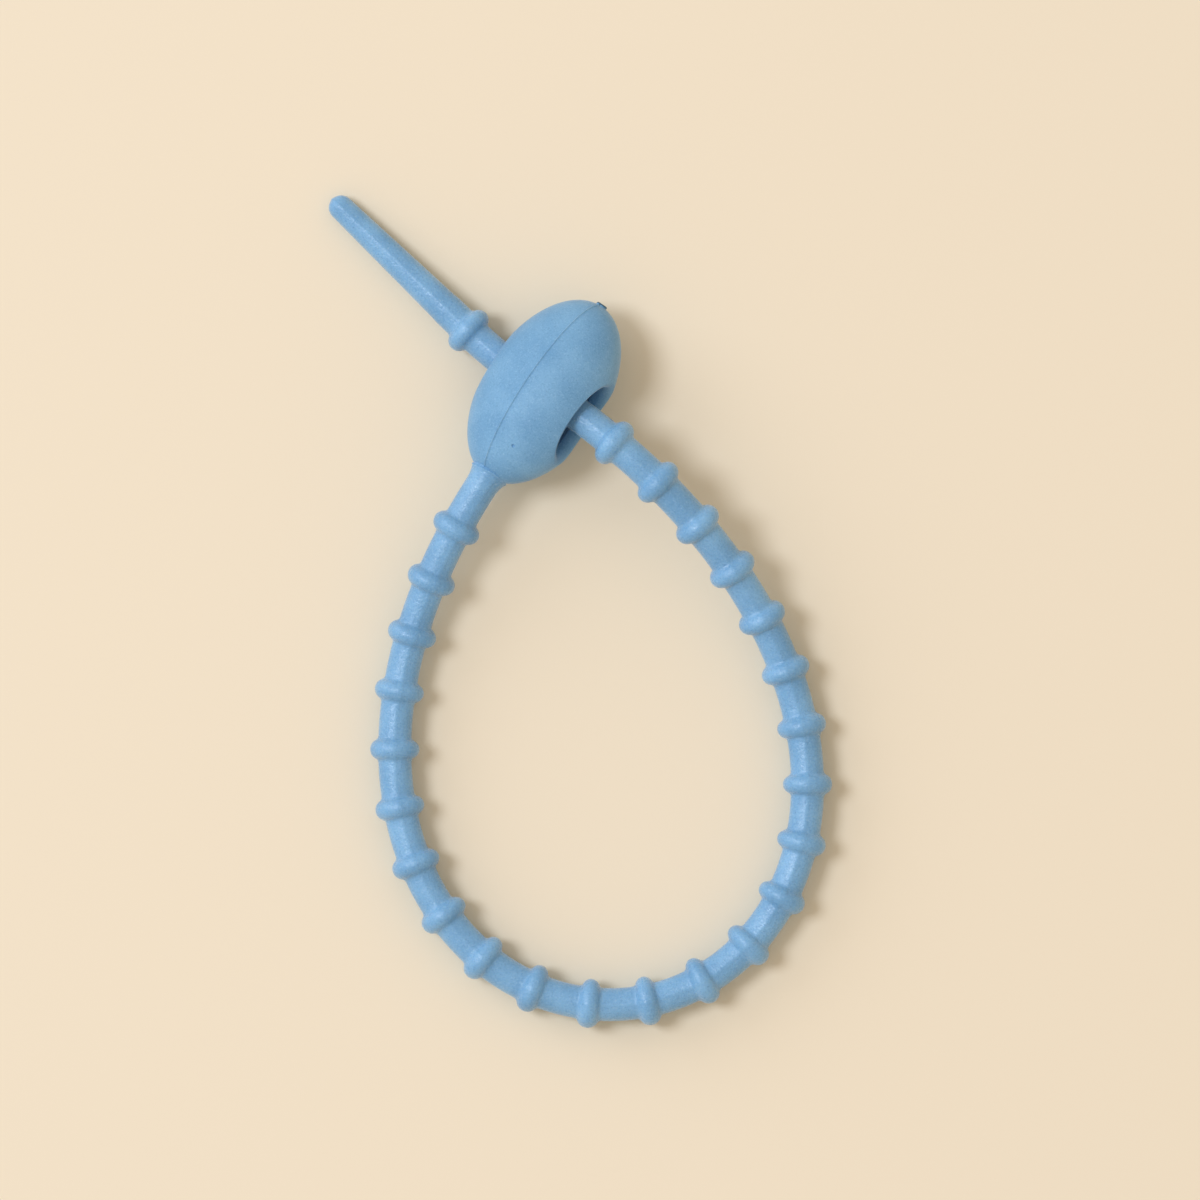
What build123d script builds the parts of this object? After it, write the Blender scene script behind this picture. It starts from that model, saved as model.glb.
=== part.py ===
from build123d import *
import os
from math import asin, cos, degrees, exp, hypot, pi, radians, sin, sqrt
import numpy as np

# One-piece silicone cable tie, closed into a loop and lying on a table. Millimetres, +Z up.
# An egg-shaped head has a slot through it. A beaded strap leaves one end of the head, runs
# round the loop, goes back through the slot and ends in a plain pull tail.
# The origin is on the table, under the middle of the tie's outline.

# Head: an ellipsoid. Its own X is the long way, Y runs through the slot, Z is the thin way.
head_length = 15.9
head_width = 9.9
head_thickness = 7.7
head_heading = 56.2  # of the long way, anticlockwise from +X
head_tilt = 24.2  # the slot leans, its entry side up

# Slot: an oval mouth on each side, lower than a bead, and between them a chamber for two beads.
mouth_width = 6.4
mouth_play = 0.57  # from strap to mouth, above and below
mouth_shift = -0.35  # from the head's middle, towards the neck
mouth_round = 0.2
chamber_margin = 0.3  # wider than the mouth, each side
chamber_round = 0.7

# Gate stub: what is left where the mould was filled, at the head's far end.
gate_diameter = 1.0
gate_height = 0.3
gate_round = 0.1

# Strap: round, with beads at an even pitch.
strap_diameter = 2.56
bead_diameter = 3.82
bead_crown = 0.78  # radius of a bead's rounded top
bead_root = 0.35  # fillet between bead and strap
bead_pitch = 4.54
loop_beads = 24  # in the loop, outside the head

# Neck: where the strap grows out of the head.
neck_length = 4.75  # head surface to first bead
neck_diameter = 2.94
neck_flare = 1.1
neck_buried = 0.9

# Pull tail: from the last bead to the tip.
tail_length = 14.8
tail_tip_diameter = 2.1
tail_heading = 136.0

# Free play between the strap and the head that it passes through.
play = 0.2

# The run through the head: the strap slopes down, away from its entry, and is stretched
# where the two mouths grip it.
run_slope = 20.5
run_skew = -1.7
run_lift = 0.13
run_side = 0.08
entry_stretch = 0.2
exit_stretch = 1.1

# The strap's lie: it comes down from the head over the first few beads, lies flat, and
# climbs again to the slot. It bends most in the middle of the loop, less towards both ends.
landed_bead = 4
lifting_bead = 18
entry_climb = -6.0
bend_spread_neck = 7.5
bend_spread_slot = 6.5

strap_radius = strap_diameter / 2
bead_radius = bead_diameter / 2
crown_height = bead_radius - bead_crown
root_height = strap_radius + bead_root
bead_half = sqrt((bead_crown + bead_root) ** 2 - (root_height - crown_height) ** 2)
root_angle = degrees(asin((root_height - crown_height) / (bead_crown + bead_root)))
tip_radius = tail_tip_diameter / 2
mouth_height = strap_diameter + 2 * mouth_play
chamber_bead = loop_beads + 1
last_bead = loop_beads + 3

lean = radians(head_tilt)
head_rise = hypot(head_width / 2 * sin(lean), head_thickness / 2 * cos(lean))
head_x = Vector(1, 0, 0).rotate(Axis.Z, head_heading)
slot_level = head_x.rotate(Axis.Z, 90)
head_centre = Vector(0, 0, head_rise)
head_plane = Plane(head_centre, x_dir=head_x, z_dir=Vector(0, 0, cos(lean)) + slot_level * sin(lean))
run_heading = head_heading + 90 + run_skew
neck_reach = head_length / 2 * sqrt(1 - (neck_diameter / head_width) ** 2) + play


def aim(heading, climb):
    """Unit vector at a heading and a climb, both in degrees."""
    return Vector(1, 0, 0).rotate(Axis.Y, -climb).rotate(Axis.Z, heading)


def turn_between(way_in, way_out):
    """Angle in radians, under a right angle, from one direction to another."""
    return asin(way_in.cross(way_out).length)


def bend_end(start, way_in, way_out, length):
    """Far end of an arc of a given length that turns from one direction to another."""
    turn = turn_between(way_in, way_out)
    if turn == 0:
        return start + way_in * length
    side = (way_out - way_in * cos(turn)) * (1 / sin(turn))
    return start + (way_in * sin(turn) + side * (1 - cos(turn))) * (length / turn)


def strap_ways(lie):
    """Direction of the neck and then of each bead."""
    least_turn, most_turn, bend_middle, dip, climb, droop = lie
    heading = head_heading + 180
    ways = [aim(heading, 0)]
    for bead in range(1, chamber_bead + 1):
        offset = bead - 1 - bend_middle
        spread = bend_spread_neck if offset < 0 else bend_spread_slot
        heading += least_turn + most_turn * exp(-((offset / spread) ** 2))
        level = 0
        if bead < landed_bead:
            level = -dip * sin(pi * bead / landed_bead)
        elif lifting_bead < bead < loop_beads:
            level = climb * sin(pi * (bead - lifting_bead) / (loop_beads - lifting_bead))
        elif bead == loop_beads:
            level = entry_climb
        elif bead > loop_beads:
            level = -run_slope
        ways.append(aim(heading, level))
    ways.append(ways[-1])
    ways.append(aim(tail_heading, -droop))
    return ways, heading - 360


def gap_length(bead):
    """Length of strap between a bead and what comes before it."""
    if bead == 1:
        return neck_length - neck_flare - bead_half
    stretch = {chamber_bead: entry_stretch, last_bead: exit_stretch}
    return bead_pitch - 2 * bead_half + stretch.get(bead, 0)


def lay_strap(lie):
    """Start of each gap, centre of each bead, and the direction of each, from neck to tail."""
    ways, heading = strap_ways(lie)
    point = head_centre + ways[0] * (neck_reach + neck_flare)
    starts = []
    beads = []
    for bead in range(1, last_bead + 1):
        starts.append(point)
        point = bend_end(point, ways[bead - 1], ways[bead], gap_length(bead))
        beads.append(point + ways[bead] * bead_half)
        point = beads[-1] + ways[bead] * bead_half
    return ways, starts, beads, heading


def misfit(lie):
    """How far a lie is from closing the loop with its low parts on the table."""
    ways, starts, beads, heading = lay_strap(lie)
    run = aim(run_heading, -run_slope)
    run_middle = head_centre + head_x * run_side + Vector(0, 0, run_lift)
    short = beads[chamber_bead - 1] - (run_middle - run * (bead_pitch / 2))
    tip_centre = beads[-1] + ways[-1] * (tail_length - tip_radius)
    table_gap = beads[landed_bead - 1].Z - bead_radius
    return np.array([short.X, short.Y, short.Z, heading - run_heading, table_gap, tip_centre.Z - tip_radius])


def close_loop():
    """Newton's method for the lie that closes the loop."""
    lie = np.array([4.0, 14.0, 11.5, 11.0, 15.0, 4.5])
    step = 1e-4
    for _ in range(12):
        miss = misfit(lie)
        slopes = np.column_stack([(misfit(lie + step * row) - miss) / step for row in np.eye(len(lie))])
        lie = lie - np.linalg.solve(slopes, miss)
    return lie


ways, starts, beads, _ = lay_strap(close_loop())

# Chamber for the two beads inside the head, in the head's own frame.
chamber_lean = radians(head_tilt - run_slope)
chamber_offset = (bead_pitch / 2) * sin(chamber_lean) + run_lift
chamber_half = bead_pitch / 2 + bead_half + play
with BuildPart() as chamber:
    with BuildSketch(Plane.XZ):
        with Locations((mouth_shift, 0)):
            Ellipse(mouth_width / 2 + chamber_margin, bead_radius + chamber_offset + play)
    extrude(amount=chamber_half, both=True)
    fillet(chamber.edges().filter_by(GeomType.LINE, reverse=True), chamber_round)

# The upper half of the head is shaped first and then mirrored to make the lower half.
with BuildPart() as head:
    with BuildSketch(Plane.XY):
        with BuildLine():
            rim = EllipticalCenterArc((0, 0), head_length / 2, head_width / 2, 0, arc_size=180)
            Line(rim @ 0, rim @ 1)
        make_face()
    revolve(axis=Axis.X, revolution_arc=180)
    scale(by=(1, 1, head_thickness / head_width))
    with BuildSketch(Plane.XZ):
        with Locations((mouth_shift, 0)):
            Ellipse(mouth_width / 2, mouth_height / 2)
    extrude(amount=head_width, both=True, mode=Mode.SUBTRACT)
    mouth_edges = head.edges().filter_by(lambda edge: edge.center().Z > mouth_height / 4)
    fillet(mouth_edges.filter_by(lambda edge: abs(edge.center().Y) > head_width / 4), mouth_round)
    add(chamber.part, mode=Mode.SUBTRACT)
    mirror(about=Plane.XY)
    with BuildSketch(Plane.YZ.offset(head_length / 2 - gate_diameter)):
        Circle(gate_diameter / 2)
    extrude(amount=gate_diameter + gate_height)
    fillet(head.faces().sort_by(Axis.X)[-1].edges(), gate_round)

# Strap: the neck, then a bend and a bead at each pitch, each joined to the last end to end.
with BuildPart() as strap:
    across = ways[0].cross(Vector(0, 0, 1))
    neck_start = head_centre + ways[0] * neck_reach
    with BuildSketch(Plane(neck_start, x_dir=ways[0], z_dir=across)):
        with BuildLine():
            Polyline(
                (neck_flare, strap_radius),
                (neck_flare, 0),
                (-neck_buried, 0),
                (-neck_buried, neck_diameter / 2),
                (0, neck_diameter / 2),
            )
            TangentArc((neck_flare, strap_radius), (0, neck_diameter / 2), tangent=(-1, 0))
        make_face()
    revolve(axis=Axis(neck_start, ways[0]))

    for index, centre in enumerate(beads):
        way_in = ways[index]
        way_out = ways[index + 1]
        turn = turn_between(way_in, way_out)
        with BuildSketch(Plane(starts[index], z_dir=way_in)):
            Circle(strap_radius)
        if turn == 0:
            extrude(amount=gap_length(index + 1))
        else:
            axis_way = way_in.cross(way_out)
            hub = starts[index] + axis_way.cross(way_in).normalized() * (gap_length(index + 1) / turn)
            revolve(axis=Axis(hub, axis_way), revolution_arc=degrees(turn))

        across = way_out.cross(Vector(0, 0, 1))
        with BuildSketch(Plane(centre, x_dir=way_out, z_dir=across)):
            with BuildLine():
                CenterArc((-bead_half, root_height), bead_root, 270, 90 - root_angle)
                CenterArc((0, crown_height), bead_crown, root_angle, 180 - 2 * root_angle)
                CenterArc((bead_half, root_height), bead_root, 180 + root_angle, 90 - root_angle)
                Polyline((-bead_half, strap_radius), (-bead_half, 0), (bead_half, 0), (bead_half, strap_radius))
            make_face()
        revolve(axis=Axis(centre, way_out))

# Pull tail: a gentle taper with a round tip.
tail_way = ways[-1]
tail_start = beads[-1] + tail_way * bead_half
tail_run = tail_length - bead_half
with BuildPart() as tail:
    with BuildSketch(Plane(tail_start, x_dir=tail_way, z_dir=tail_way.cross(Vector(0, 0, 1)))):
        with BuildLine():
            Polyline(
                (tail_run - tip_radius, tip_radius),
                (0, strap_radius),
                (0, 0),
                (tail_run, 0),
            )
            CenterArc((tail_run - tip_radius, 0), tip_radius, 0, 90)
        make_face()
    revolve(axis=Axis(tail_start, tail_way))

placed_head = head_plane.location * head.part
with BuildPart() as joined:
    add(strap.part)
    add(tail.part)
    add(placed_head)

# The tie rests on its lowest point.
outline = joined.part.bounding_box()
with BuildPart() as silicone_tie:
    add(Pos(-outline.center().X, -outline.center().Y, -outline.min.Z) * joined.part)

silicone_tie.part.label = "silicone_tie"
os.makedirs("parts", exist_ok=True)
export_step(silicone_tie.part, "parts/silicone_tie.step")
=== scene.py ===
import bpy
import math
import numpy
from mathutils import Matrix, Vector


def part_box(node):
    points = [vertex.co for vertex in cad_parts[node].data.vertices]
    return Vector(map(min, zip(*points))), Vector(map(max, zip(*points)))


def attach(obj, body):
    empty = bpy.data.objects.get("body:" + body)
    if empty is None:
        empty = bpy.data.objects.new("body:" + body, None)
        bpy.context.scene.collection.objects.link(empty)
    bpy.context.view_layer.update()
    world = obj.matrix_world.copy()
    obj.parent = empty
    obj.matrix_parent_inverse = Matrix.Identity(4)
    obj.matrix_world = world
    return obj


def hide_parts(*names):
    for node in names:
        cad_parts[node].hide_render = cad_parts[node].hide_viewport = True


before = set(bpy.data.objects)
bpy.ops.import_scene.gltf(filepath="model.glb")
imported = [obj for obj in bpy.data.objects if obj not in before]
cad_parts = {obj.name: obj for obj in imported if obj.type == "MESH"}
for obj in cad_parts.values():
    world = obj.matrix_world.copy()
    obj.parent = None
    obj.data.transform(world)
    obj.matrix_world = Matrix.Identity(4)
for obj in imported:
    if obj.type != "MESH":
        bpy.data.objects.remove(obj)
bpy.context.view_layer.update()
mm = 0.001
weld = 0.01 * mm  # points closer than this are one point


def deselectAll():
    if bpy.context.mode != "OBJECT":
        bpy.ops.object.mode_set(mode="OBJECT")
    bpy.ops.object.select_all(action="DESELECT")


def pick(piece):
    deselectAll()
    piece.select_set(True)
    bpy.context.view_layer.objects.active = piece


def addModifier(piece, kind, **settings):
    modifier = piece.modifiers.new(kind.title(), kind)
    for key, value in settings.items():
        setattr(modifier, key, value)
    return modifier


def applyModifiers(piece):
    pick(piece)
    for modifier in list(piece.modifiers):
        bpy.ops.object.modifier_apply(modifier=modifier.name)


def applyPlace(piece):
    pick(piece)
    bpy.ops.object.transform_apply(location=True, rotation=True, scale=True)


def selectWhere(piece, test):
    # Leaves the piece in edit mode, with only the points that pass the test selected.
    pick(piece)
    bpy.ops.object.mode_set(mode="EDIT")
    bpy.ops.mesh.select_all(action="DESELECT")
    bpy.ops.object.mode_set(mode="OBJECT")
    for vertex in piece.data.vertices:
        vertex.select = test(vertex.co)
    bpy.ops.object.mode_set(mode="EDIT")


# The strap is grown straight, along x from the head's skin, and bent along its route afterwards.
strap = {
    "radius": 1.28 * mm,
    "beadRadius": 1.91 * mm,
    "crown": 0.78 * mm,     # radius of a bead's rounded top
    "root": 0.35 * mm,      # fillet between bead and strap
    "pitch": 4.54 * mm,
    "beads": 27,
    "sides": 48,
    "gapRings": 4,          # rings of points along each gap between beads
    "flareRings": 6,
    "tailRings": 24,
    "neckLength": 4.75 * mm,
    "neckRadius": 1.47 * mm,
    "neckFlare": 1.1 * mm,
    "neckBuried": 0.9 * mm,
    "tailLength": 14.8 * mm,
    "tipRadius": 0.96 * mm,
    "ridgeHeight": 0.05 * mm,  # the mould's parting line, above and below
    "ridgeWidth": 0.12 * mm,
    "collarHeight": 0.12 * mm,  # the raised line round the neck
    "collarWidth": 0.1 * mm,
    "collarRings": 16,
    "collarStep": 0.05 * mm,
    "upright": 24 * mm,     # along the strap, where its parting line has come upright
}

# How the strap lies. Headings and climbs are in degrees.
lie = {
    "loopBeads": 24,
    "landed": 4,            # the bead where it lands on the table
    "lifting": 18,          # and the one where it lifts again
    "spreadNeck": 7.5,      # beads over which the bend fades, towards the neck
    "spreadSlot": 6.5,
    "entryClimb": -6.0,
    "runSlope": 20.5,       # through the slot
    "runHeading": 144.5,
    "runLift": 0.13 * mm,
    "runSide": 0.08 * mm,
    "tailHeading": 136.0,
    "entryStretch": 0.2 * mm,
    "exitStretch": 1.1 * mm,
    "handle": 0.344,        # length of the route's handles, as a share of the span beside them
}


def aim(heading, climb):
    heading = math.radians(heading)
    climb = math.radians(climb)
    level = math.cos(climb)
    return Vector((level * math.cos(heading), level * math.sin(heading), math.sin(climb)))


def beadHalf():
    reach = strap["crown"] + strap["root"]
    rise = strap["radius"] + strap["root"] - (strap["beadRadius"] - strap["crown"])
    return math.sqrt(reach ** 2 - rise ** 2)


def strapWays(bends):
    leastTurn, mostTurn, middle, dip, rise, droop = bends
    heading = head["heading"] + 180
    ways = [aim(heading, 0)]
    for bead in range(1, lie["loopBeads"] + 2):
        offset = bead - 1 - middle
        spread = lie["spreadNeck"] if offset < 0 else lie["spreadSlot"]
        heading += leastTurn + mostTurn * math.exp(-(offset / spread) ** 2)
        climb = 0
        if bead < lie["landed"]:
            climb = -dip * math.sin(math.pi * bead / lie["landed"])
        elif lie["lifting"] < bead < lie["loopBeads"]:
            share = (bead - lie["lifting"]) / (lie["loopBeads"] - lie["lifting"])
            climb = rise * math.sin(math.pi * share)
        elif bead == lie["loopBeads"]:
            climb = lie["entryClimb"]
        elif bead > lie["loopBeads"]:
            climb = -lie["runSlope"]
        ways.append(aim(heading, climb))
    return ways + [ways[-1], aim(lie["tailHeading"], -droop)], heading - 360


def bendEnd(start, wayIn, wayOut, length):
    turn = wayIn.angle(wayOut)
    if turn < 1e-4:
        return start + wayIn * length
    side = (wayOut - wayIn * math.cos(turn)) / math.sin(turn)
    return start + (wayIn * math.sin(turn) + side * (1 - math.cos(turn))) * (length / turn)


def layStrap(bends):
    half = beadHalf()
    ways, heading = strapWays(bends)
    point = neckStart + ways[0] * strap["neckFlare"]
    centres = []
    for bead in range(1, strap["beads"] + 1):
        gap = strap["pitch"] - 2 * half
        if bead == 1:
            gap = strap["neckLength"] - strap["neckFlare"] - half
        elif bead == lie["loopBeads"] + 1:
            gap += lie["entryStretch"]
        elif bead == strap["beads"]:
            gap += lie["exitStretch"]
        point = bendEnd(point, ways[bead - 1], ways[bead], gap)
        centres.append(point + ways[bead] * half)
        point = centres[-1] + ways[bead] * half
    return ways, centres, heading


def misfit(bends):
    # How far the strap is from closing the loop through the slot with its low parts on the table.
    ways, centres, heading = layStrap(bends)
    run = aim(lie["runHeading"], -lie["runSlope"])
    runMiddle = headX * lie["runSide"] + Vector((0, 0, headRise + lie["runLift"]))
    short = centres[lie["loopBeads"]] - (runMiddle - run * (strap["pitch"] / 2))
    tip = centres[-1] + ways[-1] * (strap["tailLength"] - strap["tipRadius"])
    heights = (centres[lie["landed"] - 1].z - strap["beadRadius"], tip.z - strap["tipRadius"])
    return numpy.array([gap / mm for gap in (*short, *heights)] + [heading - lie["runHeading"]])


def closeLoop():
    # Newton's method: least and most turn, where it turns most, dip, rise and the tail's droop.
    bends = numpy.array([4.0, 14.0, 11.5, 11.0, 15.0, 4.5])
    step = 0.01
    for _ in range(12):
        miss = misfit(bends)
        slopes = [(misfit(bends + step * row) - miss) / step for row in numpy.eye(len(bends))]
        bends = bends - numpy.linalg.solve(numpy.column_stack(slopes), miss)
    return bends


head = {
    "length": 15.9 * mm,
    "width": 9.9 * mm,
    "thickness": 7.7 * mm,
    "heading": 56.2,        # degrees, of the long way
    "tilt": 24.2,           # the slot leans, its entry side up
    "cuts": 51,             # a loop of edges lies in the parting plane
    "play": 0.2 * mm,       # the neck's straight part ends this far outside the egg
    "mouthWidth": 6.4 * mm,
    "mouthHeight": 3.7 * mm,
    "mouthShift": -0.35 * mm,
    "roundTop": 0.2 * mm,       # of the mouth's rim, above the strap
    "roundSide": 0.6 * mm,
    "roundLow": 0.8 * mm,
    "rimCrossing": 0.008 * mm,  # how far the rim's round sits in, so that it cuts the skin cleanly
    "chamberHalf": 3.4 * mm,
    "chamberShorter": 0.65 * mm,  # along its lower wall, to leave room for the rim's round
    "chamberSide": 0.3 * mm,
    "chamberRise": 0.53 * mm,
    "narrowing": 0.2,       # share of the chamber over which it narrows to the mouth
    "slotSides": 128,
    "stations": 24,         # rings from the head's middle to outside a mouth
    "roundFrom": 12,        # the ring where the chamber ends and the rim's round begins
    "seamWidth": 0.11 * mm,
    "seamHeight": 0.09 * mm,
    "seamCrest": 0.05 * mm,
    "gateRadius": 0.45 * mm,
    "gateHeight": 0.17 * mm,
    "gateRound": 0.12 * mm,
    "pit": (-4.83 * mm, -1.66 * mm),  # a bubble broke the skin here
    "pitRadius": 0.14 * mm,
}

# The head's own axes: x is its long way, y runs through the slot, z is its thin way.
lean = math.radians(head["tilt"])
headX = aim(head["heading"], 0)
headLevel = aim(head["heading"] + 90, 0)
headY = headLevel * math.cos(lean) - Vector((0, 0, math.sin(lean)))
headZ = headX.cross(headY)
headRise = math.hypot(head["width"] / 2 * math.sin(lean), head["thickness"] / 2 * math.cos(lean))
neckReach = head["length"] / 2 * math.sqrt(1 - (2 * strap["neckRadius"] / head["width"]) ** 2) + head["play"]

# Laid out from the head, then moved so that its outline fills the frame's box.
neckStart = Vector((0, 0, headRise)) - headX * neckReach
ways, centres, _ = layStrap(closeLoop())
lowest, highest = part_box("silicone_tie")
rims = [(strap["beadRadius"] * math.hypot(way.y, way.z), strap["beadRadius"] * math.hypot(way.x, way.z))
        for way in ways[1:]]
toFrame = Vector((
    highest.x - max(centre.x + rim[0] for centre, rim in zip(centres, rims)),
    lowest.y - min(centre.y - rim[1] for centre, rim in zip(centres, rims)),
    0,
))
neckStart += toFrame
centres = [centre + toFrame for centre in centres]
headCentre = toFrame + Vector((0, 0, headRise))
headPlace = Matrix.Translation(headCentre) @ Matrix((headX, headY, headZ)).transposed().to_4x4()
print("route laid, head at", [round(value / mm, 2) for value in headCentre])


def growTube(name, stations):
    startX, startRadius = stations[0]
    deselectAll()
    bpy.ops.mesh.primitive_circle_add(
        vertices=strap["sides"], radius=startRadius, location=(startX, 0, 0), rotation=(0, math.pi / 2, 0)
    )
    tube = bpy.context.object
    tube.name = name
    applyPlace(tube)
    bpy.ops.object.mode_set(mode="EDIT")
    bpy.ops.mesh.select_all(action="SELECT")
    for (x, radius), (nextX, nextRadius) in zip(stations, stations[1:]):
        bpy.ops.mesh.extrude_region_move(TRANSFORM_OT_translate={"value": (nextX - x, 0, 0)})
        grow = nextRadius / radius
        bpy.ops.transform.resize(value=(1, grow, grow), center_override=(nextX, 0, 0))
    bpy.ops.object.mode_set(mode="OBJECT")
    return tube


def arcStations(centreX, centreRadius, radius, start, end, steps):
    points = []
    for step in range(steps + 1):
        angle = math.radians(start + (end - start) * step / steps)
        points.append((centreX + radius * math.cos(angle), centreRadius + radius * math.sin(angle)))
    return points


half = beadHalf()
rootHeight = strap["radius"] + strap["root"]
crownHeight = strap["beadRadius"] - strap["crown"]
rootAngle = math.degrees(math.asin((rootHeight - crownHeight) / (strap["crown"] + strap["root"])))
beadProfile = (
    arcStations(-half, rootHeight, strap["root"], 270, 360 - rootAngle, 4)
    + arcStations(0, crownHeight, strap["crown"], 180 - rootAngle, rootAngle, 12)[1:]
    + arcStations(half, rootHeight, strap["root"], 180 + rootAngle, 270, 4)[1:]
)


def modelLink():
    edge = strap["pitch"] / 2
    run = edge - half
    before = [(-edge + run * step / strap["gapRings"], strap["radius"]) for step in range(strap["gapRings"])]
    after = [(-x, radius) for x, radius in reversed(before)]
    link = growTube("link", before + beadProfile + after)
    addModifier(
        link, "ARRAY", count=strap["beads"], use_relative_offset=False, use_constant_offset=True,
        constant_offset_displace=(strap["pitch"], 0, 0), use_merge_vertices=True, merge_threshold=weld,
    )
    applyModifiers(link)
    link.location.x = strap["neckLength"]
    applyPlace(link)
    return link


def modelNeck():
    stations = [(-strap["neckBuried"], strap["neckRadius"])]
    for step in range(strap["collarRings"], -1, -1):
        stations.append((-step * strap["collarStep"], strap["neckRadius"]))
    drop = strap["neckRadius"] - strap["radius"]
    for step in range(1, strap["flareRings"] + 1):
        share = step / strap["flareRings"]
        stations.append((strap["neckFlare"] * share, strap["radius"] + drop * (1 - share) ** 2))
    straight = strap["neckLength"] - strap["pitch"] / 2 - strap["neckFlare"]
    for share in (1 / 3, 2 / 3, 1):
        stations.append((strap["neckFlare"] + straight * share, strap["radius"]))
    neck = growTube("neck", stations)
    selectWhere(neck, lambda place: place.x < -strap["neckBuried"] + weld)
    bpy.ops.mesh.edge_face_add()
    bpy.ops.object.mode_set(mode="OBJECT")
    return neck


def modelTail():
    lastBead = strap["neckLength"] + strap["pitch"] * (strap["beads"] - 1)
    start = lastBead + strap["pitch"] / 2
    taperStart = lastBead + half
    tipStart = lastBead + strap["tailLength"] - strap["tipRadius"]
    stations = [(start, strap["radius"])]
    for step in range(1, strap["tailRings"] + 1):
        x = start + (tipStart - start) * step / strap["tailRings"]
        share = (x - taperStart) / (tipStart - taperStart)
        stations.append((x, strap["radius"] + (strap["tipRadius"] - strap["radius"]) * share))
    stations += arcStations(tipStart, 0, strap["tipRadius"], 90, 8, 10)[1:]
    tail = growTube("tail", stations)
    bpy.ops.object.mode_set(mode="EDIT")
    bpy.ops.mesh.extrude_region_move(TRANSFORM_OT_translate={"value": (weld, 0, 0)})
    bpy.ops.mesh.merge(type="CENTER")
    bpy.ops.object.mode_set(mode="OBJECT")
    return tail


def joinStrap():
    neck = modelNeck()
    link = modelLink()
    tail = modelTail()
    deselectAll()
    for piece in (neck, link, tail):
        piece.select_set(True)
    bpy.context.view_layer.objects.active = link
    bpy.ops.object.join()
    link.name = "strap"
    bpy.ops.object.mode_set(mode="EDIT")
    bpy.ops.mesh.select_all(action="SELECT")
    bpy.ops.mesh.remove_doubles(threshold=weld)
    bpy.ops.mesh.normals_make_consistent(inside=False)
    bpy.ops.object.mode_set(mode="OBJECT")
    return link


def stretchRun(piece):
    # The mouths grip the strap, so the gaps that pass through them are longer.
    inner = strap["neckLength"] + strap["pitch"] * (lie["loopBeads"] - 0.5)
    outer = inner + 2 * strap["pitch"]
    for edge, stretch in ((outer, lie["exitStretch"]), (inner, lie["entryStretch"])):
        selectWhere(piece, lambda place: place.x > edge)
        bpy.ops.transform.translate(value=(stretch, 0, 0))
        bpy.ops.object.mode_set(mode="OBJECT")


def routeCurve():
    # A smooth curve through the middle of each bead, in the direction that the bead points.
    tipWay = ways[-1]
    points = [(neckStart, ways[0])] + list(zip(centres, ways[1:]))
    points.append((centres[-1] + tipWay * strap["tailLength"], tipWay))
    curve = bpy.data.curves.new("route", "CURVE")
    curve.dimensions = "3D"
    curve.resolution_u = 24
    curve.twist_mode = "Z_UP"
    spline = curve.splines.new("BEZIER")
    spline.bezier_points.add(len(points) - 1)
    for index, (knot, (place, way)) in enumerate(zip(spline.bezier_points, points)):
        before = (place - points[max(index - 1, 0)][0]).length
        after = (points[min(index + 1, len(points) - 1)][0] - place).length
        knot.co = place
        knot.handle_left_type = knot.handle_right_type = "FREE"
        knot.handle_left = place - way * before * lie["handle"]
        knot.handle_right = place + way * after * lie["handle"]
    route = bpy.data.objects.new("route", curve)
    bpy.context.scene.collection.objects.link(route)
    return route


def routeLength(route):
    line = bpy.data.meshes.new_from_object(route)
    places = [vertex.co for vertex in line.vertices]
    bpy.data.meshes.remove(line)
    return sum((far - near).length for near, far in zip(places, places[1:]))


def liftSkin(piece, height):
    # Moves each point of the skin out along its normal by a height worked out from its place.
    moves = [vertex.normal * height(vertex.co) for vertex in piece.data.vertices]
    for vertex, move in zip(piece.data.vertices, moves):
        vertex.co += move


def neckCollar(place):
    # A thin raised line runs round the neck where it leaves the egg of the head.
    if place.x > strap["neckFlare"]:
        return 0
    radius = strap["neckRadius"]
    turn = math.atan2(place.z, place.y)
    acrossShare = 2 * radius * math.cos(turn) / head["width"]
    upShare = 2 * radius * math.sin(turn) / head["thickness"]
    skin = neckReach - head["length"] / 2 * math.sqrt(1 - acrossShare ** 2 - upShare ** 2)
    away = (place.x + skin - strap["collarWidth"]) / strap["collarWidth"]
    return strap["collarHeight"] * math.exp(-away * away)


def turnStrap(piece):
    # The mould's parting line leans with the head at the neck, and comes upright further on.
    for vertex in piece.data.vertices:
        share = min(max(vertex.co.x / strap["upright"], 0), 1)
        turn = -math.radians(head["tilt"]) * (1 - share * share * (3 - 2 * share))
        vertex.co = Matrix.Rotation(turn, 3, "X") @ vertex.co


def partingRidge(place):
    across = abs(place.y) / strap["ridgeWidth"]
    return strap["ridgeHeight"] * math.exp(-across * across)


def modelStrap():
    piece = joinStrap()
    stretchRun(piece)
    liftSkin(piece, lambda place: partingRidge(place) + neckCollar(place))
    turnStrap(piece)
    route = routeCurve()
    fit = routeLength(route) / max(vertex.co.x for vertex in piece.data.vertices)
    for vertex in piece.data.vertices:
        vertex.co.x *= fit if vertex.co.x > 0 else 1  # so that each bead lands on its own place
    addModifier(piece, "CURVE", object=route, deform_axis="POS_X")
    applyModifiers(piece)
    bpy.data.objects.remove(route)
    for vertex in piece.data.vertices:
        vertex.co.z = max(vertex.co.z, 0)  # the ridge underneath is pressed flat on the table
    return piece


strapPiece = modelStrap()
print("strap", len(strapPiece.data.vertices), "vertices")


def cutWith(piece, tool, operation):
    addModifier(piece, "BOOLEAN", object=tool, operation=operation, solver="EXACT")
    applyModifiers(piece)
    bpy.data.objects.remove(tool)


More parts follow.
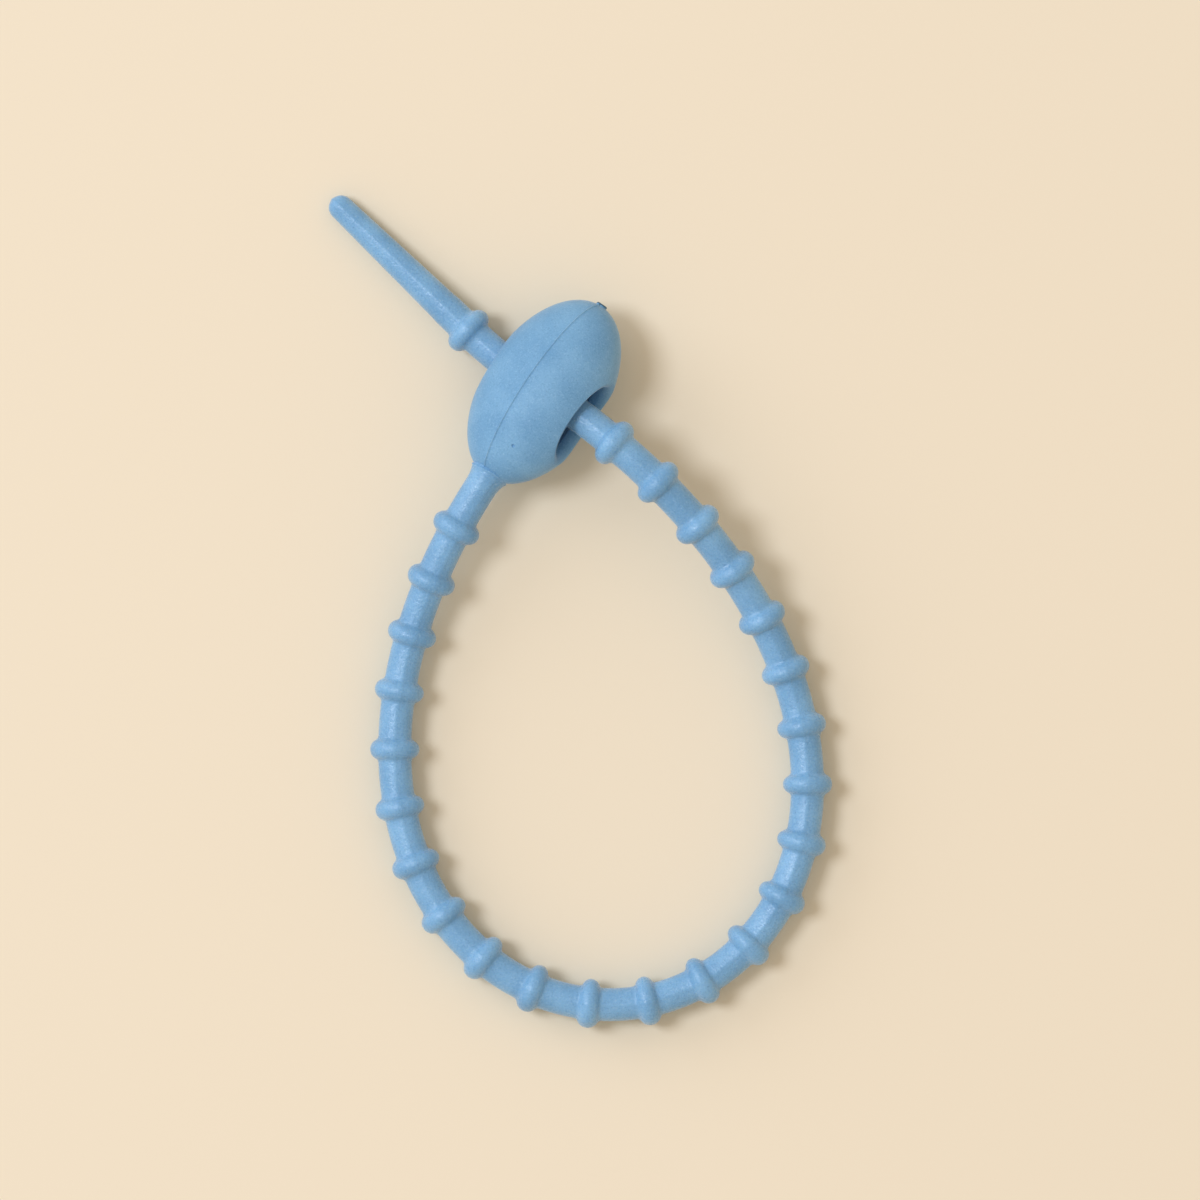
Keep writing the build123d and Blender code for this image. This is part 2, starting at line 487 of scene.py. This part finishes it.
def modelEgg():
    deselectAll()
    bpy.ops.mesh.primitive_cube_add(size=2)
    egg = bpy.context.object
    egg.name = "head"
    bpy.ops.object.mode_set(mode="EDIT")
    bpy.ops.mesh.select_all(action="SELECT")
    bpy.ops.mesh.subdivide(number_cuts=head["cuts"])
    bpy.ops.transform.tosphere(value=1)
    bpy.ops.object.mode_set(mode="OBJECT")
    reach = egg.data.vertices[0].co.length
    egg.scale = [head[side] / 2 / reach for side in ("length", "width", "thickness")]
    applyPlace(egg)
    return egg


def raiseSeam(egg):
    # The mould parts in the plane y = 0: its line stands a hair proud of the skin.
    selectWhere(egg, lambda place: abs(place.y) < weld)
    bpy.ops.mesh.bevel(offset=head["seamWidth"], segments=6, affect="EDGES")
    bpy.ops.object.mode_set(mode="OBJECT")
    liftSkin(egg, lambda place: head["seamHeight"] * math.exp(-(place.y / head["seamCrest"]) ** 2))


def rimPlace(angle, station):
    # One point of the slot's wall: station 0 is the head's middle, the last ones round the mouth's rim.
    a = head["mouthWidth"] / 2
    b = head["mouthHeight"] / 2
    wallX = head["mouthShift"] + a * math.cos(angle)
    wallZ = b * math.sin(angle)
    out = Vector((b * math.cos(angle), 0, a * math.sin(angle))).normalized()
    halfX, halfY, halfZ = (head[side] / 2 for side in ("length", "width", "thickness"))
    rimY = halfY * math.sqrt(1 - (wallX / halfX) ** 2 - (wallZ / halfZ) ** 2)
    slope = halfY ** 2 / rimY * (wallX * out.x / halfX ** 2 + wallZ * out.z / halfZ ** 2)
    reach = head["roundTop"] if angle > 0 else head["roundLow"]
    reach += (head["roundSide"] - reach) * (1 - abs(math.sin(angle)))
    arcY = rimY - reach * (slope + math.hypot(1, slope)) - head["rimCrossing"]
    room = abs(out.x) * head["chamberSide"] + abs(out.z) * head["chamberRise"]
    if station <= head["roundFrom"]:
        share = station / head["roundFrom"]
        narrow = max((share - 1) / head["narrowing"] + 1, 0)
        spread = room * (1 - narrow * narrow * (3 - 2 * narrow))
        y = (head["chamberHalf"] - head["chamberShorter"] * max(-math.sin(angle), 0)) * share
    elif station < head["stations"]:
        share = (station - head["roundFrom"] - 1) / (head["stations"] - head["roundFrom"] - 2)
        turn = (math.atan(slope) + math.pi / 2) * share
        spread = reach * (1 - math.cos(turn))
        y = arcY + reach * math.sin(turn)
    else:
        spread = reach * (1 + math.sin(math.atan(slope)))
        y = head["width"]
    return Vector((wallX + out.x * spread, y, wallZ + out.z * spread))


def slotCutter():
    # Rings from one side of the head to the other, then each point goes to its place on the wall.
    deselectAll()
    last = head["stations"]
    bpy.ops.mesh.primitive_circle_add(
        vertices=head["slotSides"], radius=1, fill_type="NGON", location=(0, -last, 0),
        rotation=(math.pi / 2, 0, 0),
    )
    cutter = bpy.context.object
    cutter.name = "slot"
    applyPlace(cutter)
    bpy.ops.object.mode_set(mode="EDIT")
    bpy.ops.mesh.select_all(action="SELECT")
    for _ in range(2 * last):
        bpy.ops.mesh.extrude_region_move(TRANSFORM_OT_translate={"value": (0, 1, 0)})
    bpy.ops.object.mode_set(mode="OBJECT")
    for vertex in cutter.data.vertices:
        station = round(abs(vertex.co.y))
        side = -1 if vertex.co.y < -0.5 else 1
        place = rimPlace(math.atan2(vertex.co.z, vertex.co.x), station)
        vertex.co = (place.x, place.y * side, place.z)
    bpy.ops.object.mode_set(mode="EDIT")
    bpy.ops.mesh.normals_make_consistent(inside=False)
    bpy.ops.object.mode_set(mode="OBJECT")
    return cutter


def gateStub():
    # What is left where the mould was filled. Most of its depth is sunk in the head.
    deselectAll()
    depth = head["gateHeight"] * 4
    bpy.ops.mesh.primitive_cylinder_add(
        vertices=48, radius=head["gateRadius"], depth=depth, rotation=(0, math.pi / 2, 0),
        location=(head["length"] / 2 + head["gateHeight"] - depth / 2, 0, 0),
    )
    stub = bpy.context.object
    stub.name = "gate"
    applyPlace(stub)
    selectWhere(stub, lambda place: place.x > head["length"] / 2)
    bpy.ops.mesh.bevel(offset=head["gateRound"], segments=4, affect="EDGES")
    bpy.ops.object.mode_set(mode="OBJECT")
    return stub


def pitTool():
    x, y = head["pit"]
    z = head["thickness"] / 2 * math.sqrt(1 - (2 * x / head["length"]) ** 2 - (2 * y / head["width"]) ** 2)
    deselectAll()
    bpy.ops.mesh.primitive_ico_sphere_add(subdivisions=3, radius=head["pitRadius"], location=(x, y, z))
    tool = bpy.context.object
    applyPlace(tool)
    return tool


def modelHead():
    egg = modelEgg()
    raiseSeam(egg)
    cutWith(egg, slotCutter(), "DIFFERENCE")
    cutWith(egg, pitTool(), "DIFFERENCE")
    cutWith(egg, gateStub(), "UNION")
    egg.matrix_world = headPlace
    applyPlace(egg)
    return egg


headPiece = modelHead()
print("head", len(headPiece.data.vertices), "vertices")


def linear(hexColour):
    channels = [int(hexColour[i:i + 2], 16) / 255 for i in (1, 3, 5)]
    return [c / 12.92 if c <= 0.04045 else ((c + 0.055) / 1.055) ** 2.4 for c in channels] + [1]


def addNode(tree, kind, inputs=None, **settings):
    node = tree.nodes.new("ShaderNode" + kind)
    for key, value in settings.items():
        setattr(node, key, value)
    for key, value in (inputs or {}).items():
        if isinstance(value, bpy.types.NodeSocket):
            tree.links.new(value, node.inputs[key])
        else:
            node.inputs[key].default_value = value
    return node


silicone = {
    "fleck": "#5686B0",
    # A pale colour for dust specks, which also stand in as painted sheen and glints on the skin.
    "paleDustAndSheen": "#ABD0EC",
    "cloudSize": 3.0 * mm,
}


def siliconeMaterial(name, look):
    # Moulded silicone rubber: soft and a little translucent, with a matte skin copied from the mould.
    # A Mix node's sockets 6 and 7 are its two colours, and its output 2 is the mixed one.
    material = bpy.data.materials.new(name)
    material.use_nodes = True
    tree = material.node_tree
    shader = tree.nodes["Principled BSDF"]
    place = addNode(tree, "TexCoord").outputs["Object"]
    clouds = addNode(tree, "TexNoise", {"Vector": place, "Scale": 1 / silicone["cloudSize"], "Detail": 3.0})
    mottle = addNode(tree, "TexNoise", {"Vector": place, "Scale": 1 / look["mottleSize"], "Detail": 3.0})
    grain = addNode(tree, "TexNoise", {"Vector": place, "Scale": 1 / look["grainSize"], "Detail": 3.0,
                                       "Roughness": 0.7})
    tint = addNode(tree, "MapRange", {"Value": clouds.outputs["Fac"], "From Min": 0.35, "From Max": 0.65})
    base = addNode(tree, "Mix", {"Factor": tint.outputs["Result"], 6: linear(look["deep"]),
                                 7: linear(look["pale"])}, data_type="RGBA")
    fleck = addNode(tree, "MapRange", {"Value": grain.outputs["Fac"], "From Min": 0.54, "From Max": 0.72,
                                       "To Max": look["fleckShare"]})
    flecked = addNode(tree, "Mix", {"Factor": fleck.outputs["Result"], 6: base.outputs[2],
                                    7: linear(silicone["fleck"])}, data_type="RGBA")
    # Pale specks where the fine grain is low: partly dust, partly painted sheen and glints.
    dustAndSheen = addNode(tree, "MapRange", {"Value": grain.outputs["Fac"], "From Min": 0.46, "From Max": 0.30,
                                      "To Max": look["dustAndSheenShare"]})
    dustAndSheenMixed = addNode(tree, "Mix", {"Factor": dustAndSheen.outputs["Result"], 6: flecked.outputs[2],
                                   7: linear(silicone["paleDustAndSheen"])}, data_type="RGBA")
    tree.links.new(dustAndSheenMixed.outputs[2], shader.inputs["Base Color"])
    gloss = addNode(tree, "MapRange", {"Value": mottle.outputs["Fac"], "From Min": 0.38, "From Max": 0.62,
                                       "To Min": look["glossy"], "To Max": look["matte"]})
    tree.links.new(gloss.outputs["Result"], shader.inputs["Roughness"])
    broad = addNode(tree, "Bump", {"Height": mottle.outputs["Fac"], "Distance": look["mottleHeight"]})
    fine = addNode(tree, "Bump", {"Height": grain.outputs["Fac"], "Distance": look["grainHeight"],
                                  "Normal": broad.outputs["Normal"]})
    tree.links.new(fine.outputs["Normal"], shader.inputs["Normal"])
    shader.inputs["IOR"].default_value = 1.41
    shader.inputs["Specular IOR Level"].default_value = look["shine"]
    shader.inputs["Subsurface Weight"].default_value = 0.2
    shader.inputs["Subsurface Radius"].default_value = (0.6, 0.8, 1.0)
    shader.inputs["Subsurface Scale"].default_value = 0.8 * mm
    shader.inputs["Sheen Weight"].default_value = 0.3
    shader.inputs["Sheen Roughness"].default_value = 0.35
    return material


# The head's smooth matte skin.
headSkin = siliconeMaterial("silicone rubber, matte head", {
    "deep": "#6CA0CA", "pale": "#7AADD5",
    "mottleSize": 0.5 * mm, "mottleHeight": 0.01 * mm, "glossy": 0.5, "matte": 0.62, "shine": 0.5,
    "grainSize": 0.14 * mm, "grainHeight": 0.02 * mm, "fleckShare": 0.55, "dustAndSheenShare": 0.35,
})
# The strap's skin, glossier and mottled from being handled and stretched.
strapSkin = siliconeMaterial("silicone rubber, beaded strap", {
    "deep": "#70A5D1", "pale": "#80B5E0",
    "mottleSize": 0.28 * mm, "mottleHeight": 0.04 * mm, "glossy": 0.22, "matte": 0.42, "shine": 0.75,
    "grainSize": 0.14 * mm, "grainHeight": 0.016 * mm, "fleckShare": 0.65, "dustAndSheenShare": 0.4,
})
# The rough scar where the gate was torn off. Its darker colour is partly the torn skin and partly painted
# shade.
tornGateShaded = siliconeMaterial("silicone rubber, torn gate, painted shade", {
    "deep": "#3F6076", "pale": "#55798F",
    "mottleSize": 0.2 * mm, "mottleHeight": 0.06 * mm, "glossy": 0.6, "matte": 0.8, "shine": 0.3,
    "grainSize": 0.1 * mm, "grainHeight": 0.03 * mm, "fleckShare": 1.0, "dustAndSheenShare": 0.0,
})


def joinMoulding():
    for piece in (strapPiece, headPiece):
        piece.data.materials.clear()
        for material in (strapSkin, headSkin, tornGateShaded):
            piece.data.materials.append(material)
    toHead = headPlace.inverted()
    for face in headPiece.data.polygons:
        place = toHead @ face.center
        # The gate stub's faces take the darker material, whose colour is partly painted shade.
        face.material_index = 2 if place.x > head["length"] / 2 + weld else 1
    cutWith(strapPiece, headPiece, "UNION")
    piece = strapPiece
    piece.name = piece.data.name = "silicone_tie_moulding"
    pick(piece)
    bpy.ops.object.shade_smooth_by_angle(angle=math.radians(40))
    return piece


tie = joinMoulding()
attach(tie, "root")
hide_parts("silicone_tie")
print("moulding", len(tie.data.vertices), "vertices")


studio = {
    "floorColour": "#F1E5CF",
    # Lamps: watts, diameter, distance, and the heading and climb in degrees that the light comes from.
    "key": (6.4, 0.42, 1.2, 165, 59),
    "fill": (4.4, 0.9, 1.3, 150, 24),
    "lampColour": "#E6F0FF",
    "worldColour": "#FFEED8",
    "worldStrength": 0.63,
    "lens": 300,
    "field": 93.2 * mm,     # width of the view at the table
    "lookAt": (1.55 * mm, 0.85 * mm),
}


def layFloor():
    deselectAll()
    bpy.ops.mesh.primitive_plane_add(size=1.5)
    floor = bpy.context.object
    floor.name = "floor"
    material = bpy.data.materials.new("pale card")  # a matte sheet of card
    material.use_nodes = True
    shader = material.node_tree.nodes["Principled BSDF"]
    shader.inputs["Base Color"].default_value = linear(studio["floorColour"])
    shader.inputs["Roughness"].default_value = 0.9
    shader.inputs["Specular IOR Level"].default_value = 0.1
    floor.data.materials.append(material)


def lightUp():
    world = bpy.context.scene.world or bpy.data.worlds.new("studio")
    bpy.context.scene.world = world
    world.use_nodes = True
    background = world.node_tree.nodes["Background"]
    background.inputs["Color"].default_value = linear(studio["worldColour"])
    background.inputs["Strength"].default_value = studio["worldStrength"]
    for name in ("key", "fill"):
        power, size, distance, heading, climb = studio[name]
        way = aim(heading, climb)
        lamp = bpy.data.lights.new(name, "AREA")
        lamp.shape = "DISK"
        lamp.size = size
        lamp.energy = power
        lamp.color = linear(studio["lampColour"])[:3]
        holder = bpy.data.objects.new(name, lamp)
        holder.location = way * distance
        holder.rotation_euler = (-way).to_track_quat("-Z", "Y").to_euler()
        bpy.context.scene.collection.objects.link(holder)


def placeCamera():
    # Straight above, looking down, with +y up the picture.
    x, y = studio["lookAt"]
    camera = bpy.data.cameras.new("camera")
    camera.lens = studio["lens"]
    camera.clip_start = 0.01
    height = studio["field"] * camera.lens / camera.sensor_width
    viewer = bpy.data.objects.new("camera", camera)
    viewer.location = (x, y, height)
    bpy.context.scene.collection.objects.link(viewer)
    bpy.context.scene.camera = viewer


layFloor()
lightUp()
placeCamera()
bpy.context.scene.view_settings.view_transform = "Standard"
print("studio ready")
